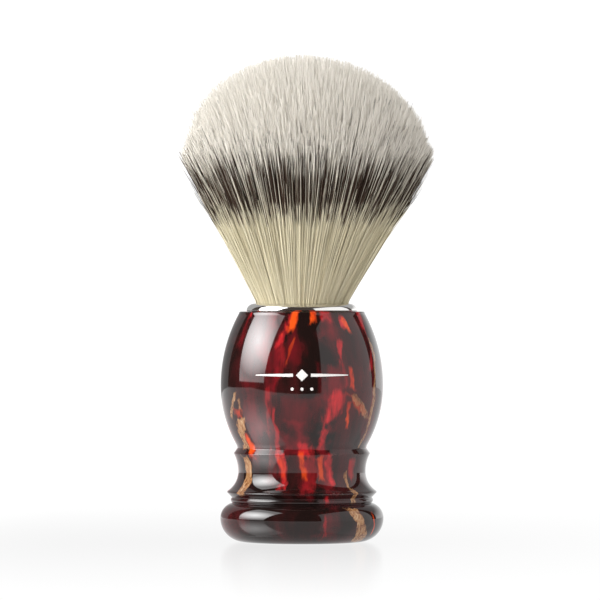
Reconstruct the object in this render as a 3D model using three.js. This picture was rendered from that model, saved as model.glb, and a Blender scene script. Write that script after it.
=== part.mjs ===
import * as THREE from 'three';

// A shaving brush, in millimetres: a turned resin handle, a plated collar in its
// mouth, and a fan-shaped knot of fibres glued into its socket. The brush stands on
// its foot at z = 0, and its axis is Z.

// Whole brush
const HEIGHT = 110;
const ROUND_STEPS = 60;       // flat faces round each turned piece
const INNER_STEPS = 48;       // the same, on the pieces sealed inside
const GLUE_LINE = 0.05;       // between faces that are glued together
const FIT_GAP = 0.15;         // round a piece that slips into a bore

// Handle: base ring
const FOOT_RADIUS = 13.23;
const BASE_CENTRE_Z = 5.3;
const BASE_LOWER_ROUND = 5.3;
const BASE_UPPER_ROUND = 3.6;
const BASE_RADIUS = FOOT_RADIUS + BASE_LOWER_ROUND;
const BASE_TOP_Z = 8.7;

// Handle: groove and rim above the base ring
const GROOVE_RADIUS = 15.9;
const GROOVE_Z = 9.1;
const RIM_FOOT_RADIUS = 16.1;
const RIM_FOOT_Z = 9.9;
const RIM_EDGE_RADIUS = 17.05;
const RIM_EDGE_Z = 11.2;

// Handle: waist, a tighter hollow below its narrowest height and a wider one above
const WAIST_Z = 15.9;
const WAIST_RADIUS = 14.46;
const WAIST_LOWER_HOLLOW = 5.19;
const WAIST_UPPER_HOLLOW = 9.0;
const WAIST_START_Z = 11.5;
const WAIST_END_Z = 19.9;

// Handle: barrel, widest at one height, with a longer curve above it than below
const BARREL_START_Z = 21.7;
const BARREL_WIDEST_Z = 35.5;
const BARREL_RADIUS = 18.44;
const BARREL_LOWER_CURVE = 27.2;
const BARREL_UPPER_CURVE = 34.0;
const HANDLE_TOP_Z = 52.2;
const TOP_EDGE_ROUND = 0.45;

// Handle: socket for the knot
const SOCKET_RADIUS = 11.5;
const SOCKET_FLOOR_Z = 34.5;

// Collar: a flange on the handle's top face and a thin skirt down the socket
const COLLAR_BORE_RADIUS = 10.45;
const COLLAR_FLANGE_RADIUS = 12.6;
const COLLAR_LIP_RADIUS = 10.8;
const COLLAR_TOP_Z = 54.0;
const COLLAR_LIP_ROUND = 0.25;
const COLLAR_SKIRT_RADIUS = SOCKET_RADIUS - FIT_GAP;
const COLLAR_SKIRT_Z = 45.0;

// Knot plug: the hard resin end that the fibres are set in, tied round its groove
const PLUG_RADIUS = 10.1;
const PLUG_FOOT_Z = 35.5;
const PLUG_TOP_Z = 46.6;
const TIE_GROOVE_RADIUS = 9.2;
const TIE_GROOVE_FOOT_Z = 40.6;
const TIE_GROOVE_TOP_Z = 44.0;
const THREAD_DIAMETER = 0.6;
const THREAD_TURNS = 3;
const THREAD_PITCH = 0.85;
const THREAD_STEPS_PER_TURN = 20;

// Fibres: they leave the collar as a cone and end in a dome. Balls about the flexing
// centre divide them into three lengths, which lean without meeting each other.
const FLEX_CENTRE_Z = COLLAR_TOP_Z;
const ROOT_RADIUS = COLLAR_BORE_RADIUS - FIT_GAP;
const CONE_SLOPE = 0.567;     // radius gained per millimetre of height
const LENGTH_GAP = 0.3;       // between one length and the next
const ROOT_BALL_RADIUS = 16.0;
const MIDDLE_BALL_RADIUS = 24.0;
const DOME_CENTRE_Z = 86.5;
const DOME_RADIUS = 27.6;
const DOME_HEIGHT = HEIGHT - DOME_CENTRE_Z;
const DOME_START = THREE.MathUtils.degToRad(-6);

const resin = new THREE.MeshStandardMaterial({ color: 0x34120f, roughness: 0.08, metalness: 0 });
const plate = new THREE.MeshStandardMaterial({ color: 0xd8d6d2, roughness: 0.1, metalness: 1 });
const epoxy = new THREE.MeshStandardMaterial({ color: 0xcbb98e, roughness: 0.35, metalness: 0 });
const plug = new THREE.MeshStandardMaterial({ color: 0x9c8a63, roughness: 0.45, metalness: 0 });
const cotton = new THREE.MeshStandardMaterial({ color: 0xe6dfcb, roughness: 0.9, metalness: 0 });
const fibre = new THREE.MeshStandardMaterial({ color: 0xd6cdae, roughness: 0.7, metalness: 0 });

const point = (radius, z) => new THREE.Vector2(radius, z);

// Points of an arc that bulges away from the axis, between two heights.
function bulge(centreRadius, centreZ, round, fromZ, toZ, steps) {
  const angleAt = (z) => Math.asin(THREE.MathUtils.clamp((z - centreZ) / round, -1, 1));
  const from = angleAt(fromZ);
  const to = angleAt(toZ);
  const points = [];
  for (let i = 0; i <= steps; i += 1) {
    const angle = from + ((to - from) * i) / steps;
    points.push(point(centreRadius + round * Math.cos(angle), centreZ + round * Math.sin(angle)));
  }
  return points;
}

// Points of an arc that is hollow towards the axis, between two heights.
function hollow(centreRadius, centreZ, round, fromZ, toZ, steps) {
  const mirrored = bulge(-centreRadius, centreZ, round, fromZ, toZ, steps);
  return mirrored.map((corner) => point(-corner.x, corner.y));
}

// A solid of revolution about Z. Its outline runs anticlockwise in (radius, z).
function turned(name, outline, steps, material) {
  const geometry = new THREE.LatheGeometry(outline, steps);
  geometry.rotateX(Math.PI / 2);
  const mesh = new THREE.Mesh(geometry, material);
  mesh.name = name;
  return mesh;
}

function makeHandle() {
  const barrelEdgeZ = HANDLE_TOP_Z - TOP_EDGE_ROUND;
  const lowerBarrel = bulge(BARREL_RADIUS - BARREL_LOWER_CURVE, BARREL_WIDEST_Z,
    BARREL_LOWER_CURVE, BARREL_START_Z, BARREL_WIDEST_Z, 7);
  const upperBarrel = bulge(BARREL_RADIUS - BARREL_UPPER_CURVE, BARREL_WIDEST_Z,
    BARREL_UPPER_CURVE, BARREL_WIDEST_Z, barrelEdgeZ, 8);
  const edgeRadius = upperBarrel[upperBarrel.length - 1].x;
  const outline = [
    point(0, 0),
    ...bulge(FOOT_RADIUS, BASE_CENTRE_Z, BASE_LOWER_ROUND, 0, BASE_CENTRE_Z, 6),
    ...bulge(BASE_RADIUS - BASE_UPPER_ROUND, BASE_CENTRE_Z, BASE_UPPER_ROUND,
      BASE_CENTRE_Z, BASE_TOP_Z, 5).slice(1),
    point(GROOVE_RADIUS, GROOVE_Z),
    point(RIM_FOOT_RADIUS, RIM_FOOT_Z),
    point(RIM_EDGE_RADIUS, RIM_EDGE_Z),
    ...hollow(WAIST_RADIUS + WAIST_LOWER_HOLLOW, WAIST_Z, WAIST_LOWER_HOLLOW,
      WAIST_START_Z, WAIST_Z, 6),
    ...hollow(WAIST_RADIUS + WAIST_UPPER_HOLLOW, WAIST_Z, WAIST_UPPER_HOLLOW,
      WAIST_Z, WAIST_END_Z, 4).slice(1),
    ...lowerBarrel,
    ...upperBarrel.slice(1),
    ...bulge(edgeRadius - TOP_EDGE_ROUND, barrelEdgeZ, TOP_EDGE_ROUND,
      barrelEdgeZ, HANDLE_TOP_Z, 2).slice(1),
    point(SOCKET_RADIUS, HANDLE_TOP_Z),
    point(SOCKET_RADIUS, SOCKET_FLOOR_Z),
    point(0, SOCKET_FLOOR_Z),
  ];
  return turned('handle', outline, ROUND_STEPS, resin);
}

function makeCollar() {
  const flangeFootZ = HANDLE_TOP_Z + GLUE_LINE;
  const flangeHeight = COLLAR_TOP_Z - flangeFootZ;
  const flangeReach = COLLAR_FLANGE_RADIUS - COLLAR_LIP_RADIUS;
  const flange = [];
  const flangeSteps = 4;
  for (let i = 0; i <= flangeSteps; i += 1) {
    const angle = (i / flangeSteps) * (Math.PI / 2);
    flange.push(point(COLLAR_LIP_RADIUS + flangeReach * Math.cos(angle),
      flangeFootZ + flangeHeight * Math.sin(angle)));
  }
  const outline = [
    point(COLLAR_BORE_RADIUS, COLLAR_SKIRT_Z),
    point(COLLAR_SKIRT_RADIUS, COLLAR_SKIRT_Z),
    point(COLLAR_SKIRT_RADIUS, flangeFootZ),
    ...flange,
    point(COLLAR_BORE_RADIUS, COLLAR_TOP_Z - COLLAR_LIP_ROUND),
    point(COLLAR_BORE_RADIUS, COLLAR_SKIRT_Z),
  ];
  return turned('collar', outline, ROUND_STEPS, plate);
}

// The glue that beds the plug: a thin cup between it and the socket.
function makeSocketAdhesive() {
  const footZ = SOCKET_FLOOR_Z + GLUE_LINE;
  const rimZ = COLLAR_SKIRT_Z - FIT_GAP;
  const outerRadius = SOCKET_RADIUS - FIT_GAP;
  const innerRadius = PLUG_RADIUS + FIT_GAP;
  const outline = [
    point(0, footZ),
    point(outerRadius, footZ),
    point(outerRadius, rimZ),
    point(innerRadius, rimZ),
    point(innerRadius, PLUG_FOOT_Z - GLUE_LINE),
    point(0, PLUG_FOOT_Z - GLUE_LINE),
  ];
  return turned('socket_adhesive', outline, ROUND_STEPS, epoxy);
}

function makeKnotPlug() {
  const outline = [
    point(0, PLUG_FOOT_Z),
    point(PLUG_RADIUS, PLUG_FOOT_Z),
    point(PLUG_RADIUS, TIE_GROOVE_FOOT_Z),
    point(TIE_GROOVE_RADIUS, TIE_GROOVE_FOOT_Z),
    point(TIE_GROOVE_RADIUS, TIE_GROOVE_TOP_Z),
    point(PLUG_RADIUS, TIE_GROOVE_TOP_Z),
    point(PLUG_RADIUS, PLUG_TOP_Z),
    point(0, PLUG_TOP_Z),
  ];
  return turned('knot_plug', outline, INNER_STEPS, plug);
}

class Helix extends THREE.Curve {
  constructor(radius, pitch, turns, middleZ) {
    super();
    this.radius = radius;
    this.pitch = pitch;
    this.turns = turns;
    this.middleZ = middleZ;
  }

  getPoint(t, target = new THREE.Vector3()) {
    const angle = 2 * Math.PI * this.turns * t;
    const z = this.middleZ + this.pitch * this.turns * (t - 0.5);
    return target.set(this.radius * Math.cos(angle), this.radius * Math.sin(angle), z);
  }
}

// The thread that ties the fibres together, wound in the plug's groove.
function makeBindingThread() {
  const threadRadius = THREAD_DIAMETER / 2;
  const section = new THREE.Shape();
  section.absarc(0, 0, threadRadius, 0, 2 * Math.PI);
  const path = new Helix(TIE_GROOVE_RADIUS + FIT_GAP + threadRadius, THREAD_PITCH, THREAD_TURNS,
    (TIE_GROOVE_FOOT_Z + TIE_GROOVE_TOP_Z) / 2);
  const geometry = new THREE.ExtrudeGeometry(section, {
    steps: THREAD_TURNS * THREAD_STEPS_PER_TURN,
    curveSegments: 4,
    extrudePath: path,
  });
  const mesh = new THREE.Mesh(geometry, cotton);
  mesh.name = 'binding_thread';
  return mesh;
}

// The point where the fibres' cone meets a ball about the flexing centre.
function coneMeetsBall(ballRadius) {
  const a = 1 + CONE_SLOPE ** 2;
  const b = 2 * CONE_SLOPE * ROOT_RADIUS;
  const c = ROOT_RADIUS ** 2 - ballRadius ** 2;
  const height = (-b + Math.sqrt(b ** 2 - 4 * a * c)) / (2 * a);
  return point(ROOT_RADIUS + CONE_SLOPE * height, FLEX_CENTRE_Z + height);
}

// Points of that ball from the cone up to the axis.
function ballCap(ballRadius, steps) {
  const start = coneMeetsBall(ballRadius);
  const from = Math.atan2(start.y - FLEX_CENTRE_Z, start.x);
  const points = [];
  for (let i = 0; i < steps; i += 1) {
    const angle = from + ((Math.PI / 2 - from) * i) / steps;
    points.push(point(ballRadius * Math.cos(angle), FLEX_CENTRE_Z + ballRadius * Math.sin(angle)));
  }
  points.push(point(0, FLEX_CENTRE_Z + ballRadius));
  return points;
}

// The fibres as far as they stay with the handle: from the plug up through the collar.
function makeBristleRoot() {
  const footZ = PLUG_TOP_Z + GLUE_LINE;
  const outline = [
    point(0, footZ),
    point(ROOT_RADIUS, footZ),
    point(ROOT_RADIUS, FLEX_CENTRE_Z),
    ...ballCap(ROOT_BALL_RADIUS, 8),
  ];
  return turned('bristle_root', outline, INNER_STEPS, fibre);
}

// The next length of the fibres, which leans to the left and the right.
function makeBristleMiddle() {
  const outline = [
    ...ballCap(ROOT_BALL_RADIUS + LENGTH_GAP, 8).reverse(),
    ...ballCap(MIDDLE_BALL_RADIUS, 8),
  ];
  return turned('bristle_middle', outline, INNER_STEPS, fibre);
}

// The free ends of the fibres, which also lean to the front and the back.
function makeBristleFan() {
  const dome = [];
  const domeSteps = 12;
  for (let i = 0; i < domeSteps; i += 1) {
    const angle = DOME_START + ((Math.PI / 2 - DOME_START) * i) / domeSteps;
    dome.push(point(DOME_RADIUS * Math.cos(angle), DOME_CENTRE_Z + DOME_HEIGHT * Math.sin(angle)));
  }
  const outline = [
    ...ballCap(MIDDLE_BALL_RADIUS + LENGTH_GAP, 8).reverse(),
    ...dome,
    point(0, HEIGHT),
  ];
  return turned('bristle_fan', outline, INNER_STEPS, fibre);
}

const brush = new THREE.Group();
brush.add(makeHandle());
brush.add(makeCollar());
brush.add(makeSocketAdhesive());
brush.add(makeKnotPlug());
brush.add(makeBindingThread());
brush.add(makeBristleRoot());
brush.add(makeBristleMiddle());
brush.add(makeBristleFan());

export default brush;
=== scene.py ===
import math

import bmesh
import bpy
import numpy as np
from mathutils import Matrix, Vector


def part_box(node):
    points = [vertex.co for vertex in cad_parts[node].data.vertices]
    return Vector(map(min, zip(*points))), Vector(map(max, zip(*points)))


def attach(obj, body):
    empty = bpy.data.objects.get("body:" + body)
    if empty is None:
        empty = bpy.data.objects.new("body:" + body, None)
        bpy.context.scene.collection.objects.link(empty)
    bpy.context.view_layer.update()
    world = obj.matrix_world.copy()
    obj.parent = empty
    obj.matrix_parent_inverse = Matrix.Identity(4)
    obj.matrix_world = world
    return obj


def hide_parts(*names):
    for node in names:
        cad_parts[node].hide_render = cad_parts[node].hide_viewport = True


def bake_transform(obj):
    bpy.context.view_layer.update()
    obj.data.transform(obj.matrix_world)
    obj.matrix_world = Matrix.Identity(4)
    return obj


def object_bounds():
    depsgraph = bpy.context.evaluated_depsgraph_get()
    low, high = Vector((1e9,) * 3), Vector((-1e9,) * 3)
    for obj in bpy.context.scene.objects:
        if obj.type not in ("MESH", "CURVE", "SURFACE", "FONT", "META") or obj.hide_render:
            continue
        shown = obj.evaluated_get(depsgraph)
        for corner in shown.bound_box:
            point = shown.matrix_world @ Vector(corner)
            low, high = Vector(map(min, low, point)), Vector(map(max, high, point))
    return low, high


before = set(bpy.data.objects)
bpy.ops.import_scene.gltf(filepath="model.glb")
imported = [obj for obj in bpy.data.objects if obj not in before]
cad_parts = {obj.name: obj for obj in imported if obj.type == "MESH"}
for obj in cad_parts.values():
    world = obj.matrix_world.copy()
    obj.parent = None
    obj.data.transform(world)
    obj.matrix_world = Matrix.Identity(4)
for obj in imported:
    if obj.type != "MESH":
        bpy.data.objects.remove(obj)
cad_low, cad_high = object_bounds()

MM = 0.001
SEED = 11

# Places taken from the frame, in metres
HEIGHT = cad_high.z
HANDLE_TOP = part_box("handle")[1].z
BASE_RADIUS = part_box("handle")[1].x
COLLAR_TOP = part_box("collar")[1].z
COLLAR_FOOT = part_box("collar")[0].z
COLLAR_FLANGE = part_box("collar")[1].x
PLUG_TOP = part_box("knot_plug")[1].z
PLUG_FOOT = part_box("knot_plug")[0].z
FAN_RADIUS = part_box("bristle_fan")[1].x

# The handle's outline, in metres, close to the CAD part's and with more small roundings
FOOT_RADIUS = 13.23 * MM
BASE_CENTRE_Z = 5.3 * MM
BASE_UPPER_ROUND = 3.6 * MM
BASE_TOP_Z = 8.7 * MM
GROOVE_FLOOR = (15.8 * MM, 8.86 * MM)
SMALL_BEAD_CENTRE = (15.5 * MM, 9.45 * MM)
SMALL_BEAD_ROUND = 0.66 * MM
SMALL_BEAD_FOOT_Z = 8.98 * MM
SMALL_BEAD_TOP_Z = 9.95 * MM
UNDERCUT = (15.95 * MM, 10.12 * MM)
RIM_EDGE_RADIUS = 17.05 * MM
RIM_EDGE_Z = 11.25 * MM
WAIST_Z = 15.9 * MM
WAIST_RADIUS = 14.46 * MM
WAIST_LOWER_HOLLOW = 5.19 * MM
WAIST_UPPER_HOLLOW = 9.0 * MM
WAIST_START_Z = 11.6 * MM
WAIST_END_Z = 19.6 * MM
BEAD_RADIUS = 15.45 * MM
BEAD_Z = 20.05 * MM
NECK_RADIUS = 14.62 * MM
NECK_Z = 21.25 * MM
BARREL_START_Z = 21.9 * MM
BARREL_WIDEST_Z = 35.5 * MM
BARREL_RADIUS = 18.44 * MM
BARREL_LOWER_CURVE = 27.2 * MM
BARREL_UPPER_CURVE = 34.0 * MM
TOP_EDGE_ROUND = 0.45 * MM
SOCKET_RADIUS = 11.5 * MM
SOCKET_FLOOR_Z = PLUG_FOOT - 1.0 * MM
COLLAR_BORE = 10.45 * MM
COLLAR_LIP = 10.8 * MM

# The fibres
FIBRE_COUNT = 26000
FIBRE_RADIUS = 0.08 * MM
KNOT_RADIUS = 10.15 * MM
FAN_SPREAD = 0.567 / 10.3 / MM     # share of its radius a fibre gains per metre of height
FIBRE_FOOT_Z = PLUG_TOP + 0.1 * MM
SPLIT_Z = 61.5 * MM                # where the lower fibres end and the upper ones begin
LOWER_SECTORS = 5
UPPER_SECTORS = 6
FIBRE_BEND = 0.5 * MM              # how softly the fibres turn outwards at the collar's mouth
END_TAPER = 6 * MM                 # the length over which a fibre thins towards its end
JITTER = 0.07 * MM                 # how unevenly the fibres are set at their feet
DRIFT = 0.42 * MM                  # how far their ends drift from an even fan
UNRULY_SHARE = 0.06
UNRULY_DRIFT = 3.0                 # how much further the unruly fibres drift
WAVE = 0.12 * MM
THINNEST, THICKEST = 0.8, 1.15     # shares of the fibre radius
TUFTS = 900
TUFT_PULL = 0.2                    # the largest share of its way to its tuft that a fibre goes
TUFT_DRIFT = 0.22 * MM
FRAYED_FROM = 0.93                 # share of the knot's radius beyond which some fibres are frayed
FRAYED_SHARE = 0.2
FRAYED_SHORTER = 9 * MM
FLICK_LENGTH = 13 * MM             # the length over which a frayed fibre turns outwards
ABOVE_DOME = 0.55 * MM             # how far above the dome a fibre of full length ends
USUAL_SHORTNESS = 0.8 * MM
OUTER_LONGER = 2.0 * MM
STRAY_SHARE = 0.02
STRAY_LONGER = 0.9 * MM
# Where the rings of a fibre are along it. The two by the split are close, to keep its shading even.
LOWER_STEPS = (0, *((z - FIBRE_FOOT_Z) / (SPLIT_Z - FIBRE_FOOT_Z)
                    for z in (COLLAR_TOP - 0.5 * MM, COLLAR_TOP + 0.8 * MM, COLLAR_TOP + 4 * MM)), 0.999, 1)
UPPER_STEPS = (0, 0.001, 0.16, 0.34, 0.56, 0.85, 1)
DOME_CENTRE_Z = 86.5 * MM
FAN_LEAN = 1.2 * MM                # how far the fan's middle sits to the right of the axis
TOP_LEAN_BACK = 0.9 * MM           # how much of that the dome's top loses again
UV_COLUMNS = 64
UV_LOW_Z = 45.0 * MM
UV_HIGH_Z = 113.0 * MM


# ---------------------------------------------------------------- outlines

def arc(centre_r, centre_z, radius, start, end, steps):
    """Points of an arc in (radius, z), between two angles in degrees from the outward direction."""
    angles = np.radians(np.linspace(start, end, steps + 1))
    return [(centre_r + radius * math.cos(a), centre_z + radius * math.sin(a)) for a in angles]


def bulge(centre_r, centre_z, radius, from_z, to_z, steps):
    """Points of an arc that bulges outwards, between two heights."""
    angles = [math.degrees(math.asin(max(-1.0, min(1.0, (z - centre_z) / radius))))
              for z in (from_z, to_z)]
    return arc(centre_r, centre_z, radius, angles[0], angles[1], steps)


def hollow(centre_r, centre_z, radius, from_z, to_z, steps):
    """Points of an arc that is hollow, between two heights."""
    return [(-r, z) for r, z in bulge(-centre_r, centre_z, radius, from_z, to_z, steps)]


def corner(before, point, after, radius, steps=6):
    """Points of a fillet of that radius at a corner between two straight runs."""
    p = Vector(point)
    u = (Vector(before) - p).normalized()
    v = (Vector(after) - p).normalized()
    half = u.angle(v) / 2
    reach = radius / math.tan(half)
    centre = p + (u + v).normalized() * (radius / math.sin(half))
    first = p + u * reach - centre
    last = p + v * reach - centre
    return [tuple(centre + first.slerp(last, i / steps) * (radius / first.slerp(last, i / steps).length))
            for i in range(steps + 1)]


def barrel_radius(z):
    """The barrel's radius at a height on it."""
    curve = BARREL_UPPER_CURVE if z > BARREL_WIDEST_Z else BARREL_LOWER_CURVE
    return BARREL_RADIUS - curve + math.sqrt(curve ** 2 - (z - BARREL_WIDEST_Z) ** 2)


def handle_outline():
    edge_z = HANDLE_TOP - TOP_EDGE_ROUND
    edge_r = barrel_radius(edge_z)
    base = bulge(FOOT_RADIUS, BASE_CENTRE_Z, BASE_CENTRE_Z, 0, BASE_CENTRE_Z, 20)
    base += bulge(BASE_RADIUS - BASE_UPPER_ROUND, BASE_CENTRE_Z, BASE_UPPER_ROUND,
                  BASE_CENTRE_Z, BASE_TOP_Z, 18)[1:]
    small_bead = bulge(*SMALL_BEAD_CENTRE, SMALL_BEAD_ROUND, SMALL_BEAD_FOOT_Z, SMALL_BEAD_TOP_Z, 8)
    groove = corner(base[-1], GROOVE_FLOOR, small_bead[0], 0.04 * MM, 4)
    rim_tip = (RIM_EDGE_RADIUS, RIM_EDGE_Z)
    waist = hollow(WAIST_RADIUS + WAIST_LOWER_HOLLOW, WAIST_Z, WAIST_LOWER_HOLLOW,
                   WAIST_START_Z, WAIST_Z, 20)
    waist += hollow(WAIST_RADIUS + WAIST_UPPER_HOLLOW, WAIST_Z, WAIST_UPPER_HOLLOW,
                    WAIST_Z, WAIST_END_Z, 14)[1:]
    bead_tip = (BEAD_RADIUS, BEAD_Z)
    neck = (NECK_RADIUS, NECK_Z)
    barrel = [(barrel_radius(z), z) for z in np.linspace(BARREL_START_Z, edge_z, 60)]
    lip = (SOCKET_RADIUS, HANDLE_TOP)
    return [
        (0, 0),
        *base,
        *groove,
        *small_bead,
        *corner(small_bead[-1], UNDERCUT, rim_tip, 0.08 * MM, 4),
        *corner(UNDERCUT, rim_tip, waist[0], 0.16 * MM),
        *waist,
        *corner(waist[-1], bead_tip, neck, 0.16 * MM),
        *corner(bead_tip, neck, barrel[0], 0.3 * MM),
        *barrel,
        *arc(edge_r - TOP_EDGE_ROUND, edge_z, TOP_EDGE_ROUND, 0, 90, 8)[1:],
        *corner((edge_r, HANDLE_TOP), lip, (SOCKET_RADIUS, SOCKET_FLOOR_Z), 0.15 * MM, 4),
        (SOCKET_RADIUS, SOCKET_FLOOR_Z),
        (0, SOCKET_FLOOR_Z),
    ]


def collar_outline():
    """A flange with a rounded outer face, a rolled lip, and a thin skirt down the socket."""
    flange_foot = HANDLE_TOP + 0.03 * MM
    height = COLLAR_TOP - flange_foot
    reach = COLLAR_FLANGE - COLLAR_LIP
    skirt = SOCKET_RADIUS - 0.15 * MM
    flange = [(COLLAR_LIP + reach * math.cos(a), flange_foot + height * math.sin(a))
              for a in np.linspace(0.12, math.pi / 2, 16)]
    lip_round = COLLAR_LIP - COLLAR_BORE
    foot_edge = COLLAR_FLANGE - 0.12 * MM
    return [
        (COLLAR_BORE, COLLAR_FOOT),
        (skirt, COLLAR_FOOT),
        (skirt, flange_foot),
        (foot_edge, flange_foot),
        *flange,
        *arc(COLLAR_LIP, COLLAR_TOP - lip_round, lip_round, 90, 180, 6)[1:],
        (COLLAR_BORE, COLLAR_FOOT),
    ]


# ---------------------------------------------------------------- mesh helpers

def link(obj):
    bpy.context.scene.collection.objects.link(obj)
    return obj


def turned(name, outline, around):
    """A solid of revolution about Z, unrolled in its UV map with the seam at the back."""
    outline = [(0 if r < 1e-9 else r, z) for r, z in outline]
    closed = outline[0] == outline[-1]
    lengths = np.cumsum([0] + [math.dist(a, b) for a, b in zip(outline, outline[1:])])
    mesh_data = bmesh.new()
    uv = mesh_data.loops.layers.uv.new("OFBake")
    rings = []
    for r, z in outline[:-1] if closed else outline:
        if r == 0:
            rings.append([mesh_data.verts.new((0, 0, z))] * around)
            continue
        turns = [2 * math.pi * j / around for j in range(around)]
        rings.append([mesh_data.verts.new((r * math.sin(t), r * math.cos(t), z)) for t in turns])
    if closed:
        rings.append(rings[0])
    for i, (low, high) in enumerate(zip(rings, rings[1:])):
        v0, v1 = lengths[i] / lengths[-1], lengths[i + 1] / lengths[-1]
        for j in range(around):
            k = (j + 1) % around
            corners = [(low[j], j, v0), (low[k], j + 1, v0), (high[k], j + 1, v1), (high[j], j, v1)]
            kept = []
            for c in corners:
                if c[0] not in [other[0] for other in kept]:
                    kept.append(c)
            face = mesh_data.faces.new([c[0] for c in kept])
            face.smooth = True
            for loop, c in zip(face.loops, kept):
                loop[uv].uv = (c[1] / around, c[2])
    bmesh.ops.recalc_face_normals(mesh_data, faces=mesh_data.faces)
    mesh = bpy.data.meshes.new(name)
    mesh_data.to_mesh(mesh)
    mesh_data.free()
    return link(bpy.data.objects.new(name, mesh))


# ---------------------------------------------------------------- shader helpers

class Shader:
    """A node material, written as short calls."""

    def __init__(self, name):
        self.material = bpy.data.materials.new(name)
        self.material.use_nodes = True
        self.tree = self.material.node_tree
        self.bsdf = self.tree.nodes["Principled BSDF"]

    def node(self, kind, inputs=None, **settings):
        made = self.tree.nodes.new(kind)
        for key, value in settings.items():
            setattr(made, key, value)
        for key, value in (inputs or {}).items():
            self.feed(made.inputs[key], value)
        return made

    def feed(self, socket, value):
        if isinstance(value, bpy.types.NodeSocket):
            self.tree.links.new(value, socket)
        else:
            socket.default_value = value

    def set(self, **values):
        """Sets the surface's own sockets, such as base_color or roughness."""
        for key, value in values.items():
            words = {"base_color": "Base Color", "ior": "IOR", "specular": "Specular IOR Level",
                     "sheen": "Sheen Weight"}
            self.feed(self.bsdf.inputs[words.get(key, key.capitalize())], value)

    def math(self, operation, a, b=0.0, clamp=False):
        made = self.node("ShaderNodeMath", operation=operation, use_clamp=clamp)
        self.feed(made.inputs[0], a)
        self.feed(made.inputs[1], b)
        return made.outputs[0]

    def times_plus(self, value, times, plus):
        made = self.node("ShaderNodeMath", operation="MULTIPLY_ADD")
        for socket, v in zip(made.inputs, (value, times, plus)):
            self.feed(socket, v)
        return made.outputs[0]

    def fade(self, value, start, end, low=0.0, high=1.0):
        """A smooth step from low at start to high at end."""
        made = self.node("ShaderNodeMapRange", interpolation_type="SMOOTHSTEP")
        for key, v in (("Value", value), ("From Min", start), ("From Max", end),
                       ("To Min", low), ("To Max", high)):
            self.feed(made.inputs[key], v)
        return made.outputs["Result"]

    def mix(self, factor, a, b):
        made = self.node("ShaderNodeMix", data_type="RGBA")
        self.feed(made.inputs["Factor"], factor)
        self.feed(made.inputs["A"], a)
        self.feed(made.inputs["B"], b)
        return made.outputs["Result"]

    def noise(self, vector, scale, detail=2.0, roughness=0.5, distortion=0.0):
        inputs = {"Vector": vector, "Scale": scale, "Detail": detail,
                  "Roughness": roughness, "Distortion": distortion}
        return self.node("ShaderNodeTexNoise", inputs).outputs["Fac"]

    def stretched(self, scales, offset=(0, 0, 0)):
        """Object coordinates, each multiplied by its own scale and moved."""
        place = self.node("ShaderNodeTexCoord").outputs["Object"]
        made = self.node("ShaderNodeVectorMath", operation="MULTIPLY_ADD")
        self.feed(made.inputs[0], place)
        made.inputs[1].default_value = scales
        made.inputs[2].default_value = offset
        return made.outputs[0]

    def bump(self, height, strength, distance):
        inputs = {"Height": height, "Strength": strength, "Distance": distance}
        made = self.node("ShaderNodeBump", inputs)
        self.feed(self.bsdf.inputs["Normal"], made.outputs["Normal"])


def colour(r, g, b):
    return (r, g, b, 1.0)


# ---------------------------------------------------------------- materials

# Patches of colour in the resin: angle from the front in degrees (right is positive), half-width
# in degrees, lowest and highest place in millimetres, slant in degrees per millimetre, strength
GLOWS = [
    (-3, 17, 19, 29, 0.0, 0.9), (0, 24, 24, 34, 0.0, 0.45), (-7, 9, 40, 50, 0.3, 0.6),
    (-17, 6, 33, 53, 0.3, 0.8), (24, 19, 24, 41, 0.4, 0.8), (62, 9, 22, 53, 0.0, 0.7),
    (-26, 7, 13, 53, -0.05, 0.75), (-40, 13, 18, 38, 0.0, 0.6), (20, 9, 8, 24, 0.0, 0.8),
    (2, 12, 9.5, 20, 0.0, 0.8),
    (22, 10, 46, 53, 0.0, 0.7), (-55, 6, 44, 53, 0.0, 0.7), (20, 12, 0, 8, 0.0, 0.4),
    (92, 14, 14, 50, 0.2, 0.8), (120, 9, 2, 34, -0.2, 0.7), (142, 16, 26, 53, 0.1, 0.8),
    (170, 14, 6, 42, 0.3, 0.8), (-154, 15, 20, 53, -0.2, 0.8), (-130, 10, 2, 30, 0.2, 0.7),
    (-104, 12, 24, 53, 0.1, 0.8), (-84, 7, 6, 32, -0.1, 0.6),
]
CRIMSONS = [
    (26, 9, 26, 35, 1.6, 0.9), (17, 3.6, 21, 29, -0.4, 0.8), (33, 7, 34, 42, -0.4, 0.75),
    (31, 2.4, 38, 46, -0.2, 0.7), (21, 6, 49.5, 53, 0.0, 0.6), (38, 5, 47.5, 53, -1.2, 0.8),
    (-14, 4, 44, 53, 0.5, 0.7), (-15, 3, 36, 46, 0.3, 0.35), (5, 9, 19, 23, 0.0, 0.7),
    (6, 8, 11, 20, 0.0, 0.2), (-18, 4, 12, 21, 0.0, 0.75), (25, 4, 13, 21, 0.2, 0.9),
    (19, 4, 9, 12, 0.0, 0.8), (51, 4, 14, 19, 0.0, 0.45), (-26, 3, 16, 36, 0.0, 0.35),
    (-20, 2, 20, 31, 0.0, 0.4), (17, 2.6, 1, 8, -0.3, 0.6), (-53, 5, 50, 53, 0.0, 0.8),
    (61, 3.4, 38, 53, 0.2, 0.6), (88, 6, 22, 42, 0.3, 0.8), (97, 6, 42, 53, 0.0, 0.7),
    (120, 5, 6, 26, -0.3, 0.8), (136, 8, 34, 46, 0.4, 0.8), (150, 6, 44, 53, -0.2, 0.8),
    (165, 8, 10, 34, 0.4, 0.8), (-168, 6, 30, 46, -0.3, 0.7), (-156, 8, 24, 44, -0.3, 0.8),
    (-132, 6, 4, 24, 0.3, 0.8), (-108, 7, 28, 48, 0.2, 0.8), (-86, 5, 10, 28, -0.2, 0.7),
]
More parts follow.
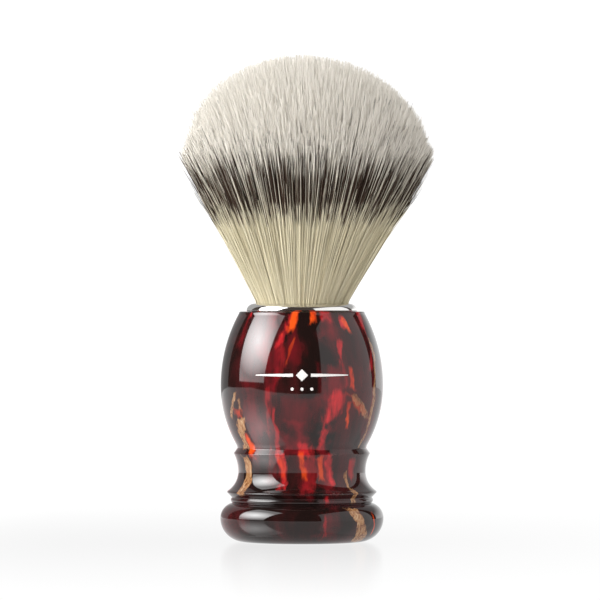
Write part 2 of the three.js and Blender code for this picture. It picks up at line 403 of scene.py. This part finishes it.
ORANGES = [
    (-9.5, 5.0, 47, 54, 0.9, 1.0), (9, 3.4, 49.5, 54, 0.5, 1.0), (41, 3.0, 46.5, 52, -1.6, 0.8),
    (37.5, 2.6, 34, 41, 0.1, 0.85), (37, 3.0, 25, 33, 0.1, 0.85), (42, 4.5, 29, 35, -3.0, 0.45),
    (-54, 5.5, 27, 31.5, -1.0, 0.75), (-50, 5.0, 19, 26, -1.2, 0.85), (17, 3.0, 14, 20, 0.1, 0.6),
    (0.5, 3.6, 14, 21, 0.0, 0.6), (-18, 2.6, 14, 20, 0.0, 0.35), (61, 1.6, 1, 7, -1.2, 0.8),
    (-9, 1.2, 40, 47, 1.0, 0.35), (95, 3.8, 44, 54, 0.2, 0.9), (129, 3.0, 16, 34, 0.3, 0.8),
    (153, 3.8, 45, 54, -0.4, 0.9), (-174, 3.0, 14, 30, 0.3, 0.7), (-140, 3.4, 38, 52, 0.5, 0.9),
    (-113, 3.0, 12, 24, -0.3, 0.8), (-92, 3.6, 45, 54, 0.2, 0.7),
]
VEINS = [
    (-60, 3.2, 28, 34.5, 1.3, 0.75), (-52, 1.8, 30, 33, 0.8, 0.5), (-56, 5.0, 21, 28.5, 1.1, 1.0),
    (-57, 6.0, 10.5, 20, -0.7, 1.0),
    (46, 5.5, 0, 8.5, -1.5, 1.0), (43, 3.4, 9, 12.5, 0.0, 1.0), (41, 1.7, 12.5, 16, 1.0, 0.9),
    (62, 1.8, 21, 47, 0.25, 0.75), (47, 3.4, 28, 34, -3.0, 0.5), (103, 4.0, 6, 28, 0.4, 0.9),
    (146, 3.0, 22, 46, -0.4, 0.9), (-176, 5.0, 0, 16, 0.8, 0.95), (-147, 2.0, 20, 44, 0.3, 0.8),
    (-98, 3.6, 28, 50, -0.4, 0.8), (-121, 4.2, 0, 14, -0.8, 0.9),
]


def patches(shader, places, around, height, ragged, softness):
    """The strongest of several long ragged patches, 0 where there is none."""
    strongest = None
    for angle, half_width, low, high, slant, strength in places:
        middle = (low + high) / 2
        straight = shader.times_plus(height, -slant, slant * middle - angle)
        off = shader.node("ShaderNodeMath", operation="WRAP")
        shader.feed(off.inputs[0], shader.math("ADD", around, straight))
        off.inputs[1].default_value = 180.0
        off.inputs[2].default_value = -180.0
        # Both of these fall to 0 at the patch's outline, one across it and one towards its ends
        across = shader.times_plus(shader.math("ABSOLUTE", off.outputs[0]), -1 / half_width, 1.0)
        from_middle = shader.math("ABSOLUTE", shader.math("SUBTRACT", height, middle))
        along = shader.times_plus(from_middle, -0.5, 0.25 * (high - low))
        field = shader.math("ADD", shader.math("MINIMUM", across, along), ragged)
        mask = shader.fade(field, 0.0, softness, 0.0, strength)
        strongest = mask if strongest is None else shader.math("MAXIMUM", strongest, mask)
    return strongest


def tortoise_resin():
    """Polished near-black resin with crimson depths, orange flames and marbled tan veins."""
    s = Shader("tortoise_resin")
    place = s.node("ShaderNodeSeparateXYZ", {"Vector": s.stretched((1, 1, 1))})
    front = s.math("MULTIPLY", place.outputs["Y"], -1.0)
    around = s.math("MULTIPLY", s.math("ARCTAN2", place.outputs["X"], front), math.degrees(1))
    height = s.math("MULTIPLY", place.outputs["Z"], 1 / MM)
    grain = s.noise(s.stretched((1, 1, 0.14)), 430, 4, 0.6)
    blotch = s.noise(s.stretched((1, 1, 0.55), (0.1, 0.2, 0)), 230, 3, 0.55, 0.4)
    drift = s.noise(s.stretched((1, 1, 0.8), (0.3, 0, 0)), 120, 3, 0.55)
    wavy = s.math("ADD", around, s.times_plus(drift, 18.0, -9.0))
    streaky = s.times_plus(grain, 2.0, -1.0)
    uneven = s.math("ADD", streaky, s.times_plus(blotch, 2.6, -1.3))

    cloud = s.noise(s.stretched((1, 1, 0.35), (0, 0.7, 0)), 75, 4, 0.6, 0.6)
    base = s.mix(s.fade(cloud, 0.4, 0.66), colour(0.009, 0.004, 0.0035), colour(0.06, 0.007, 0.008))
    glow = patches(s, GLOWS, wavy, height, uneven, 1.4)
    base = s.mix(glow, base, colour(0.15, 0.006, 0.010))
    crimson = patches(s, CRIMSONS, wavy, height, uneven, 0.9)
    red = s.mix(s.fade(grain, 0.35, 0.65), colour(0.27, 0.010, 0.013), colour(0.58, 0.020, 0.025))
    base = s.mix(crimson, base, red)
    orange = patches(s, ORANGES, wavy, height, s.math("MULTIPLY", uneven, 0.7), 0.7)
    flame = s.mix(s.fade(grain, 0.38, 0.6), colour(0.42, 0.024, 0.008), colour(0.72, 0.072, 0.007))
    base = s.mix(orange, base, flame)

    curl = s.noise(s.stretched((1, 1, 0.6)), 300, 3)
    swirl = s.noise(s.stretched((1, 1, 0.42), (0, 0, 0.4)), 1000, 4, 0.65, 1.8)
    veins = patches(s, VEINS, s.math("ADD", wavy, s.times_plus(curl, 12.0, -6.0)), height,
                    s.math("MULTIPLY", streaky, 0.8), 0.3)
    tan = s.mix(s.fade(swirl, 0.36, 0.52), colour(0.14, 0.045, 0.015), colour(0.32, 0.155, 0.065))
    tan = s.mix(s.fade(swirl, 0.52, 0.7), tan, colour(0.47, 0.31, 0.18))
    base = s.mix(veins, base, tan)

    from_rim = s.math("ABSOLUTE", s.times_plus(height, 1.0, -RIM_EDGE_Z / MM))
    from_bead = s.math("ABSOLUTE", s.times_plus(height, 1.0, -BEAD_Z / MM))
    edges = s.fade(s.math("MINIMUM", from_rim, from_bead), 0.15, 0.55, 1.0, 0.0)
    scuffs = s.fade(s.noise(s.stretched((1, 1, 2), (0.4, 0, 0)), 900, 4, 0.7), 0.5, 0.75)
    handled = s.fade(s.noise(s.stretched((1, 1, 1), (0, 0.9, 0)), 90, 2), 0.48, 0.62)
    wear = s.math("MULTIPLY", edges, s.math("MULTIPLY", scuffs, handled))
    base = s.mix(s.math("MULTIPLY", wear, 0.3), base, colour(0.30, 0.20, 0.18))

    haze = s.noise(s.stretched((1, 1, 1), (0.2, 0.1, 0)), 600, 3, 0.6)
    gloss = s.fade(haze, 0.3, 0.8, 0.035, 0.085)
    s.set(base_color=base, roughness=s.math("ADD", gloss, s.math("MULTIPLY", wear, 0.2)), ior=1.5)
    ripple = s.noise(s.stretched((1, 1, 0.6)), 110, 1)
    s.bump(ripple, 0.12, 0.05 * MM)
    return s.material


def nickel_plate():
    """Polished plate with faint turning marks and light handling haze."""
    s = Shader("nickel_plate")
    marks = s.noise(s.stretched((0.2, 0.2, 12)), 900, 2)
    haze = s.noise(s.stretched((1, 1, 1)), 500, 3, 0.6)
    tone = s.mix(haze, colour(0.80, 0.785, 0.76), colour(0.86, 0.85, 0.83))
    s.set(base_color=tone, metallic=1.0, roughness=s.fade(haze, 0.3, 0.8, 0.05, 0.12))
    s.bump(marks, 0.05, 0.01 * MM)
    return s.material


def set_resin(name, dark, light, grain, roughness):
    """Cured glue or casting resin: cloudy, with fine bubbles in its surface."""
    s = Shader(name)
    cloud = s.noise(s.stretched((1, 1, 1)), grain, 4, 0.6)
    bubbles = s.noise(s.stretched((1, 1, 1), (0.5, 0, 0)), grain * 6, 2)
    s.set(base_color=s.mix(cloud, dark, light),
          roughness=s.fade(cloud, 0.3, 0.7, roughness, roughness + 0.15))
    s.bump(s.fade(bubbles, 0.55, 0.7), 0.3, 0.05 * MM)
    return s.material


def cotton_thread():
    """Twisted thread: fine diagonal strands."""
    s = Shader("cotton_thread")
    strands = s.node("ShaderNodeTexWave", {"Vector": s.stretched((1, 1, 2.4)), "Scale": 1400.0,
                                           "Distortion": 1.5, "Detail": 2.0})
    twist = strands.outputs["Fac"]
    s.set(base_color=s.mix(twist, colour(0.52, 0.47, 0.36), colour(0.84, 0.80, 0.70)),
          roughness=0.85, sheen=0.3)
    s.bump(twist, 0.6, 0.08 * MM)
    return s.material


def banded_fibre():
    """Fibres that are cream at the root, dark in one band and off-white at the tip.

    The map gives each kind of fibre its own column, and the place along the fibre by height."""
    s = Shader("banded_fibre")
    unrolled = s.node("ShaderNodeUVMap", uv_map="OFBake").outputs[0]
    place = s.node("ShaderNodeSeparateXYZ", {"Vector": unrolled})
    kind = s.math("FLOOR", s.math("MULTIPLY", place.outputs["X"], float(UV_COLUMNS)))
    height = s.times_plus(place.outputs["Y"], (UV_HIGH_Z - UV_LOW_Z) / MM, UV_LOW_Z / MM)

    def chance(salt):
        return s.node("ShaderNodeTexWhiteNoise", {"W": s.math("ADD", kind, salt)},
                      noise_dimensions="1D").outputs["Value"]

    lower_edge = s.times_plus(chance(0.5), 6.0, 70.4)
    high_tail = s.math("MULTIPLY", s.math("POWER", chance(500.5), 14.0), 16.0)
    upper_edge = s.math("ADD", s.times_plus(chance(100.5), 6.0, 81.4), high_tail)
    rising = s.fade(s.math("SUBTRACT", height, lower_edge), -0.6, 1.0)
    falling = s.fade(s.math("SUBTRACT", height, upper_edge), -0.8, 1.6, 1.0, 0.0)
    strength = s.fade(chance(200.5), 0.14, 0.32, 0.12, 1.0)
    band = s.math("MULTIPLY", s.math("MULTIPLY", rising, falling), strength)

    tone = chance(300.5)
    root = s.mix(tone, colour(0.64, 0.57, 0.39), colour(0.72, 0.66, 0.48))
    tip = s.mix(tone, colour(0.67, 0.63, 0.56), colour(0.78, 0.74, 0.67))
    dark = s.mix(chance(400.5), colour(0.020, 0.011, 0.0075), colour(0.080, 0.046, 0.030))
    pale = s.mix(s.fade(height, 68.0, 90.0), root, tip)
    s.set(base_color=s.mix(band, pale, dark),
          roughness=s.fade(chance(600.5), 0.0, 1.0, 0.38, 0.55), specular=0.15)
    along = s.math("MULTIPLY", s.math("ADD", height, kind), 4.0)
    scales = s.node("ShaderNodeTexNoise", {"W": along, "Scale": 1.0}, noise_dimensions="1D")
    s.bump(scales.outputs["Fac"], 0.15, 0.01 * MM)
    return s.material


def printed_ink():
    """Off-white print, a little uneven, under the same polish as the resin."""
    s = Shader("printed_ink")
    grain = s.noise(s.stretched((1, 1, 1)), 2600, 3, 0.6)
    s.set(base_color=s.mix(grain, colour(0.60, 0.57, 0.55), colour(0.76, 0.73, 0.71)),
          roughness=s.fade(grain, 0.3, 0.7, 0.22, 0.4))
    s.bump(grain, 0.2, 0.01 * MM)
    return s.material


# ---------------------------------------------------------------- pieces

def make_handle():
    piece = turned("turned_handle", handle_outline(), 192)
    piece.data.materials.append(tortoise_resin())
    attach(piece, "handle")
    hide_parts("handle")


def make_collar():
    piece = turned("plated_collar", collar_outline(), 160)
    piece.data.materials.append(nickel_plate())
    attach(piece, "handle")
    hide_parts("collar")


def dress_inner_parts():
    """The CAD parts that stay inside the handle, with their own materials."""
    amber, honey = colour(0.50, 0.38, 0.18), colour(0.66, 0.55, 0.33)
    brown, tan = colour(0.24, 0.17, 0.08), colour(0.40, 0.31, 0.17)
    looks = {
        "socket_adhesive": set_resin("socket_glue", amber, honey, 260, 0.25),
        "knot_plug": set_resin("plug_resin", brown, tan, 420, 0.35),
        "binding_thread": cotton_thread(),
    }
    for node, material in looks.items():
        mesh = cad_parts[node].data
        mesh.materials.clear()
        mesh.materials.append(material)


def smooth_ramp(value, start, end):
    t = np.clip((value - start) / (end - start), 0, 1)
    return t * t * (3 - 2 * t)


class Knot:
    """The paths of all the fibres, from the plug to the dome."""

    def __init__(self):
        rng = np.random.default_rng(SEED)
        count = FIBRE_COUNT
        order = np.arange(count) + 0.5
        golden = math.pi * (3 - math.sqrt(5))
        radius = KNOT_RADIUS * np.sqrt(order / count)
        angle = order * golden
        self.x = radius * np.cos(angle) + rng.normal(0, JITTER, count)
        self.y = radius * np.sin(angle) + rng.normal(0, JITTER, count)
        self.sector = np.arctan2(self.y, self.x)
        self.edge = np.clip(np.hypot(self.x, self.y) / KNOT_RADIUS, 0, 1)
        self.kind = rng.integers(0, UV_COLUMNS, count)
        self.turn = rng.uniform(0, 2 * math.pi, count)
        unruly = 1 + UNRULY_DRIFT * (rng.random(count) < UNRULY_SHARE) * (1 - 0.7 * self.edge)
        self.drift_x = rng.normal(0, DRIFT, count) * unruly
        self.drift_y = rng.normal(0, DRIFT, count) * unruly
        frayed = (self.edge > FRAYED_FROM) & (rng.random(count) < FRAYED_SHARE)
        self.flick = frayed * rng.uniform(0.4 * MM, 1.8 * MM, count)
        self.wave = rng.normal(0, WAVE, count)
        self.wave_turn = rng.uniform(0, 2 * math.pi, count)
        self.thick = rng.uniform(THINNEST, THICKEST, count)
        self.tuft(rng)
        self.end = self.dome_height() + self.length_change(rng)
        self.end = self.end - frayed * rng.uniform(0, FRAYED_SHORTER, count)

    def tuft(self, rng):
        """Gathers the fibres loosely into tufts."""
        chosen = rng.choice(FIBRE_COUNT, TUFTS, replace=False)
        centre = np.stack([self.x[chosen], self.y[chosen]], 1)
        place = np.stack([self.x, self.y], 1)
        nearest = np.empty(FIBRE_COUNT, int)
        for first in range(0, FIBRE_COUNT, 2000):
            part = place[first:first + 2000]
            gap = ((part[:, None, :] - centre[None, :, :]) ** 2).sum(2)
            nearest[first:first + 2000] = gap.argmin(1)
        self.tuft_x, self.tuft_y = centre[nearest].T
        self.pull = rng.uniform(0.0, TUFT_PULL, TUFTS)[nearest]
        self.tuft_drift_x = rng.normal(0, TUFT_DRIFT, TUFTS)[nearest]
        self.tuft_drift_y = rng.normal(0, TUFT_DRIFT, TUFTS)[nearest]

    def dome_height(self):
        """Where each fibre would meet the dome if it ran straight."""
        reach = np.hypot(self.x, self.y)
        a = FAN_RADIUS
        b = HEIGHT - DOME_CENTRE_Z
        rise = DOME_CENTRE_Z - COLLAR_TOP
        qa = (reach * FAN_SPREAD / a) ** 2 + 1 / b ** 2
        qb = 2 * reach ** 2 * FAN_SPREAD / a ** 2 - 2 * rise / b ** 2
        qc = (reach / a) ** 2 + (rise / b) ** 2 - 1
        return COLLAR_TOP + (-qb + np.sqrt(qb ** 2 - 4 * qa * qc)) / (2 * qa)

    def length_change(self, rng):
        """Most ends lie close to the dome. The outer ones are less even, and a few stand out."""
        short = rng.exponential(USUAL_SHORTNESS, FIBRE_COUNT)
        outer = smooth_ramp(self.edge, 0.86, 1.0)
        long = rng.uniform(0, OUTER_LONGER, FIBRE_COUNT) * outer
        stray = (rng.random(FIBRE_COUNT) < STRAY_SHARE) * rng.uniform(0, STRAY_LONGER, FIBRE_COUNT)
        return ABOVE_DOME + long + stray - short

    def at(self, z):
        """The fibres' middles at a height for each."""
        free = FIBRE_BEND * np.logaddexp(0, (z - COLLAR_TOP) / FIBRE_BEND)
        spread = 1 + free * FAN_SPREAD
        along = np.clip(free / (HEIGHT - COLLAR_TOP), 0, 1)
        gathered = self.pull * smooth_ramp(along, 0.1, 0.9)
        x = (self.x + (self.tuft_x - self.x) * gathered) * spread
        y = (self.y + (self.tuft_y - self.y) * gathered) * spread
        swing = np.sin(along * 5.0 + self.wave_turn) * smooth_ramp(along, 0.0, 0.25)
        sway = self.wave * swing
        outwards = self.flick * smooth_ramp(z, self.end - FLICK_LENGTH, self.end)
        x = x + (self.drift_x + self.tuft_drift_x) * along + sway + outwards * np.cos(self.sector)
        y = y + (self.drift_y + self.tuft_drift_y) * along + sway + outwards * np.sin(self.sector)
        x = x + FAN_LEAN * smooth_ramp(z, COLLAR_TOP - 6 * MM, COLLAR_TOP + 32 * MM)
        x = x - TOP_LEAN_BACK * smooth_ramp(z, HEIGHT - 19 * MM, HEIGHT - 5 * MM)
        return x, y

    def thickness(self, z):
        taper = smooth_ramp((self.end - z) / END_TAPER, 0.0, 1.0)
        fuller = 1 + 0.25 * smooth_ramp(z, 58 * MM, 85 * MM)
        return FIBRE_RADIUS * self.thick * fuller * (0.4 + 0.6 * taper)


def fibre_piece(name, knot, chosen, low, high, steps, material):
    """One mesh of three-sided closed fibres between two heights, given for each fibre."""
    count = len(chosen)
    sides = 3
    rings = len(steps)
    points = np.empty((count, rings, sides, 3))
    for i, step in enumerate(steps):
        z = low + (high - low) * step
        x, y = knot.at(z)
        wide = knot.thickness(z)
        for j in range(sides):
            turn = knot.turn + 2 * math.pi * j / sides
            points[:, i, j, 0] = (x + wide * np.cos(turn))[chosen]
            points[:, i, j, 1] = (y + wide * np.sin(turn))[chosen]
            points[:, i, j, 2] = z[chosen]
    first = np.arange(count)[:, None, None] * rings * sides
    ring = np.arange(rings - 1)[None, :, None] * sides
    side = np.arange(sides)[None, None, :]
    following = (side + 1) % sides
    quads = np.stack([first + ring + side, first + ring + following,
                      first + ring + sides + following, first + ring + sides + side], -1).reshape(-1, 4)
    foot = np.arange(count)[:, None] * rings * sides + np.array([2, 1, 0])
    top = np.arange(count)[:, None] * rings * sides + (rings - 1) * sides + np.array([0, 1, 2])
    caps = np.concatenate([foot, top])
    loops = np.concatenate([caps.ravel(), quads.ravel()])
    sizes = np.concatenate([np.full(len(caps), 3), np.full(len(quads), 4)])
    starts = np.concatenate([[0], np.cumsum(sizes)[:-1]])

    mesh = bpy.data.meshes.new(name)
    mesh.vertices.add(count * rings * sides)
    mesh.vertices.foreach_set("co", points.ravel())
    mesh.loops.add(len(loops))
    mesh.loops.foreach_set("vertex_index", loops)
    mesh.polygons.add(len(sizes))
    mesh.polygons.foreach_set("loop_start", starts)
    mesh.polygons.foreach_set("use_smooth", sizes == 4)
    mesh.update(calc_edges=True)

    column = np.repeat(knot.kind[chosen], rings * sides)
    across = np.tile(np.array([0.25, 0.5, 0.75]), count * rings)
    heights = (points[..., 2].ravel() - UV_LOW_Z) / (UV_HIGH_Z - UV_LOW_Z)
    flat = np.stack([(column + across) / UV_COLUMNS, heights], 1)
    layer = mesh.uv_layers.new(name="OFBake")
    layer.data.foreach_set("uv", flat[loops].ravel())

    piece = link(bpy.data.objects.new(name, mesh))
    mesh.materials.append(material)
    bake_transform(piece)
    return piece


def make_fibres():
    """The knot: a lower and an upper length, each in several sectors round the axis."""
    material = banded_fibre()
    knot = Knot()
    foot = np.full(FIBRE_COUNT, FIBRE_FOOT_Z)
    split = np.full(FIBRE_COUNT, SPLIT_Z)
    turn = (knot.sector + math.pi) / (2 * math.pi)
    for i in range(LOWER_SECTORS):
        chosen = np.flatnonzero((turn * LOWER_SECTORS % LOWER_SECTORS).astype(int) == i)
        piece = fibre_piece(f"lower_fibres_{i + 1}", knot, chosen, foot, split, LOWER_STEPS, material)
        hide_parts("bristle_root")
    for i in range(UPPER_SECTORS):
        chosen = np.flatnonzero((turn * UPPER_SECTORS % UPPER_SECTORS).astype(int) == i)
        piece = fibre_piece(f"upper_fibres_{i + 1}", knot, chosen, split, knot.end, UPPER_STEPS, material)
        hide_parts("bristle_middle", "bristle_fan")


def on_barrel(across, z, lift):
    """A place on the barrel's front: across it in metres along its surface, and up."""
    radius = barrel_radius(z)
    angle = across / radius
    return ((radius + lift) * math.sin(angle), -(radius + lift) * math.cos(angle), z)


def ornament_shapes():
    """The printed rule's shapes: the height of each one's middle, and its outline as a list of places
    across the barrel, each with the shape's half-height there."""
    mark_z = 38.0 * MM
    dots_z = 34.9 * MM
    bar_start, bar_length, bar_half, bar_tip_half = 2.0, 9.0, 0.3, 0.07
    lozenge_half = 1.36
    dot_spacing, dot_radius = 2.2, 0.36
    shapes = []
    for side in (-1, 1):
        bar = [(side * (bar_start + bar_length * a) * MM, (bar_half * (1 - a) ** 0.6 + bar_tip_half) * MM)
               for a in np.linspace(0, 1, 25)]
        shapes.append((mark_z, bar))
    reach = lozenge_half - 0.02
    lozenge = [(x * MM, (lozenge_half - abs(x)) * MM) for x in np.linspace(-reach, reach, 21)]
    shapes.append((mark_z, lozenge))
    for middle in (-dot_spacing, 0.0, dot_spacing):
        turns = np.radians(np.linspace(-85, 85, 15))
        dot = [((middle + dot_radius * math.sin(t)) * MM, dot_radius * math.cos(t) * MM) for t in turns]
        shapes.append((dots_z, dot))
    return shapes


def make_ornament():
    """A printed rule: two tapering bars beside a small lozenge, and three dots below."""
    proud, sunk = 0.02 * MM, -0.04 * MM
    mesh_data = bmesh.new()
    for middle_z, outline in ornament_shapes():
        rows = []
        for across, half in outline:
            face = [(middle_z + up, proud) for up in np.linspace(-half, half, 9)]
            rows.append([mesh_data.verts.new(on_barrel(across, z, lift))
                         for z, lift in face + [(middle_z + half, sunk), (middle_z - half, sunk)]])
        for a, b in zip(rows, rows[1:]):
            for j, following in enumerate([*range(1, len(a)), 0]):
                mesh_data.faces.new((a[j], a[following], b[following], b[j]))
        mesh_data.faces.new(rows[0])
        mesh_data.faces.new(rows[-1])
    bmesh.ops.recalc_face_normals(mesh_data, faces=mesh_data.faces)
    mesh = bpy.data.meshes.new("printed_ornament")
    mesh_data.to_mesh(mesh)
    mesh_data.free()
    piece = link(bpy.data.objects.new("printed_ornament", mesh))
    mesh.materials.append(printed_ink())
    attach(piece, "handle")


# ---------------------------------------------------------------- studio

def direction(azimuth, elevation):
    """Azimuth 0 is towards the camera and positive to the right, in degrees."""
    a, e = math.radians(azimuth), math.radians(elevation)
    return Vector((math.sin(a) * math.cos(e), -math.cos(a) * math.cos(e), math.sin(e)))


def glow(name, core, edge, hot_spot, reach, widen=1.0):
    """Emission that falls evenly from a hot spot on a panel to its edge, in the panel's own axes."""
    material = bpy.data.materials.new(name)
    material.use_nodes = True
    tree = material.node_tree
    tree.nodes.clear()
    place = tree.nodes.new("ShaderNodeTexCoord")
    narrowed = tree.nodes.new("ShaderNodeVectorMath")
    narrowed.operation = "MULTIPLY"
    narrowed.inputs[1].default_value = (1 / widen, 1, 1)
    away = tree.nodes.new("ShaderNodeVectorMath")
    away.operation = "DISTANCE"
    away.inputs[1].default_value = (hot_spot[0] / widen, hot_spot[1], 0)
    level = tree.nodes.new("ShaderNodeMapRange")
    level.inputs["From Max"].default_value = reach
    level.inputs["To Min"].default_value = core
    level.inputs["To Max"].default_value = edge
    light = tree.nodes.new("ShaderNodeEmission")
    out = tree.nodes.new("ShaderNodeOutputMaterial")
    tree.links.new(place.outputs["Object"], narrowed.inputs[0])
    tree.links.new(narrowed.outputs["Vector"], away.inputs[0])
    tree.links.new(away.outputs["Value"], level.inputs["Value"])
    tree.links.new(level.outputs["Result"], light.inputs["Strength"])
    tree.links.new(light.outputs["Emission"], out.inputs["Surface"])
    return material


def panel(name, centre, facing, width, height, material):
    """A flat lit panel that the camera doesn't see, standing upright or tipped to face a point."""
    mesh = bpy.data.meshes.new(name)
    w, h = width / 2, height / 2
    mesh.from_pydata([(-w, -h, 0), (w, -h, 0), (w, h, 0), (-w, h, 0)], [], [(0, 1, 2, 3)])
    mesh.materials.append(material)
    piece = link(bpy.data.objects.new(name, mesh))
    piece.location = centre
    piece.rotation_euler = (facing - centre).to_track_quat("Z", "Y").to_euler()
    piece.visible_camera = False
    return piece


def make_studio():
    """The softbox shows only in reflections. The wash and the overhead light reach only rough surfaces."""
    middle = Vector((0, 0, HEIGHT / 2))
    lamp_distance = 5.5 * HEIGHT
    key = glow("key_glow", 20.0, 3.5, (-0.02, -0.04), 0.27, 1.5)
    key_centre = middle + direction(-77, 30) * lamp_distance
    softbox = panel("key_softbox", key_centre, middle, 0.56, 0.70, key)
    softbox.visible_diffuse = False
    wash_light = glow("wash_glow", 4.6, 4.6, (0, 0), 1.0)
    wash_centre = middle + direction(-48, 22) * lamp_distance
    wash = panel("wash", wash_centre, middle, 0.7, 0.7, wash_light)
    wash.visible_glossy = False
    overhead_light = glow("overhead_glow", 1.3, 1.3, (0, 0), 1.0)
    overhead_centre = middle + direction(20, 78) * lamp_distance
    overhead = panel("overhead", overhead_centre, middle, 0.6, 0.6, overhead_light)
    overhead.visible_glossy = False

    card = glow("card_glow", 1.15, 1.0, (0, 0), 0.9)
    card_centre = middle + direction(72, 20) * (4.8 * HEIGHT)
    panel("right_card", card_centre, Vector((0, 0, card_centre.z)), 0.98, 0.9, card)

    backdrop = glow("backdrop_glow", 2.0, 0.45, (0.8, -0.5), 0.35, 3.0)
    back_centre = Vector((0, 7 * HEIGHT, 5 * HEIGHT))
    panel("backdrop", back_centre, Vector((0, 0, back_centre.z)), 1.9, 1.3, backdrop)

    floor_mesh = bpy.data.meshes.new("floor")
    front, back, side = -2.3 * HEIGHT, 7 * HEIGHT, 9 * HEIGHT
    floor_z = -0.02 * MM
    floor_mesh.from_pydata([(-side, front, floor_z), (side, front, floor_z),
                            (side, back, floor_z), (-side, back, floor_z)], [], [(0, 1, 2, 3)])
    floor_mesh.materials.append(light_table())
    floor = link(bpy.data.objects.new("floor", floor_mesh))
    make_world()


def light_table():
    """A white sheet lit from below, brighter towards the left, with a weak blurred reflection."""
    material = bpy.data.materials.new("light_table")
    material.use_nodes = True
    tree = material.node_tree
    tree.nodes.clear()
    place = tree.nodes.new("ShaderNodeTexCoord")
    across = tree.nodes.new("ShaderNodeSeparateXYZ")
    level = tree.nodes.new("ShaderNodeMapRange")
    level.interpolation_type = "SMOOTHSTEP"
    for key, value in (("From Min", -0.05), ("From Max", -0.14), ("To Min", 1.03), ("To Max", 1.16)):
        level.inputs[key].default_value = value
    lit = tree.nodes.new("ShaderNodeEmission")
    shine = tree.nodes.new("ShaderNodeBsdfGlossy")
    shine.inputs["Roughness"].default_value = 0.12
    from_foot = tree.nodes.new("ShaderNodeVectorMath")
    from_foot.operation = "LENGTH"
    share = tree.nodes.new("ShaderNodeMapRange")
    for key, value in (("From Min", 0.02), ("From Max", 0.21), ("To Min", 0.26), ("To Max", 0.03)):
        share.inputs[key].default_value = value
    blend = tree.nodes.new("ShaderNodeMixShader")
    out = tree.nodes.new("ShaderNodeOutputMaterial")
    tree.links.new(place.outputs["Object"], from_foot.inputs[0])
    tree.links.new(from_foot.outputs["Value"], share.inputs["Value"])
    tree.links.new(share.outputs["Result"], blend.inputs["Fac"])
    tree.links.new(place.outputs["Object"], across.inputs[0])
    tree.links.new(across.outputs["X"], level.inputs["Value"])
    tree.links.new(level.outputs["Result"], lit.inputs["Strength"])
    tree.links.new(lit.outputs[0], blend.inputs[1])
    tree.links.new(shine.outputs[0], blend.inputs[2])
    tree.links.new(blend.outputs[0], out.inputs["Surface"])
    return material


def make_world():
    """White behind everything for the camera, a dim warm room in reflections, and even white light
    on rough surfaces."""
    world = bpy.data.worlds.new("studio")
    bpy.context.scene.world = world
    world.use_nodes = True
    tree = world.node_tree
    tree.nodes.clear()
    path = tree.nodes.new("ShaderNodeLightPath")
    out = tree.nodes.new("ShaderNodeOutputWorld")
    white = colour(1, 1, 1)
    in_reflections, on_rough_surfaces, behind = (colour(1.0, 0.8, 0.7), 0.07), (white, 0.74), (white, 1.1)
    levels = []
    for tint, strength in (in_reflections, on_rough_surfaces, behind):
        level = tree.nodes.new("ShaderNodeBackground")
        level.inputs["Color"].default_value = tint
        level.inputs["Strength"].default_value = strength
        levels.append(level.outputs[0])
    room = tree.nodes.new("ShaderNodeMixShader")
    tree.links.new(path.outputs["Is Diffuse Ray"], room.inputs["Fac"])
    tree.links.new(levels[0], room.inputs[1])
    tree.links.new(levels[1], room.inputs[2])
    blend = tree.nodes.new("ShaderNodeMixShader")
    tree.links.new(path.outputs["Is Camera Ray"], blend.inputs["Fac"])
    tree.links.new(room.outputs[0], blend.inputs[1])
    tree.links.new(levels[2], blend.inputs[2])
    tree.links.new(blend.outputs[0], out.inputs["Surface"])


def make_camera():
    """Level with the middle of the brush, ten brush heights away."""
    distance = 10 * HEIGHT
    view_width = 1.2384 * HEIGHT
    data = bpy.data.cameras.new("camera")
    data.sensor_width = 36.0
    data.lens = data.sensor_width * distance / view_width
    data.clip_start = 0.1
    data.clip_end = 10.0
    camera = link(bpy.data.objects.new("camera", data))
    camera.location = (-0.0039 * HEIGHT, -distance, 0.4982 * HEIGHT)
    camera.rotation_euler = (math.pi / 2, 0, 0)
    bpy.context.scene.camera = camera


make_camera()
make_studio()
make_handle()
make_collar()
dress_inner_parts()
make_fibres()
make_ornament()
bpy.context.scene.view_settings.view_transform = "Standard"
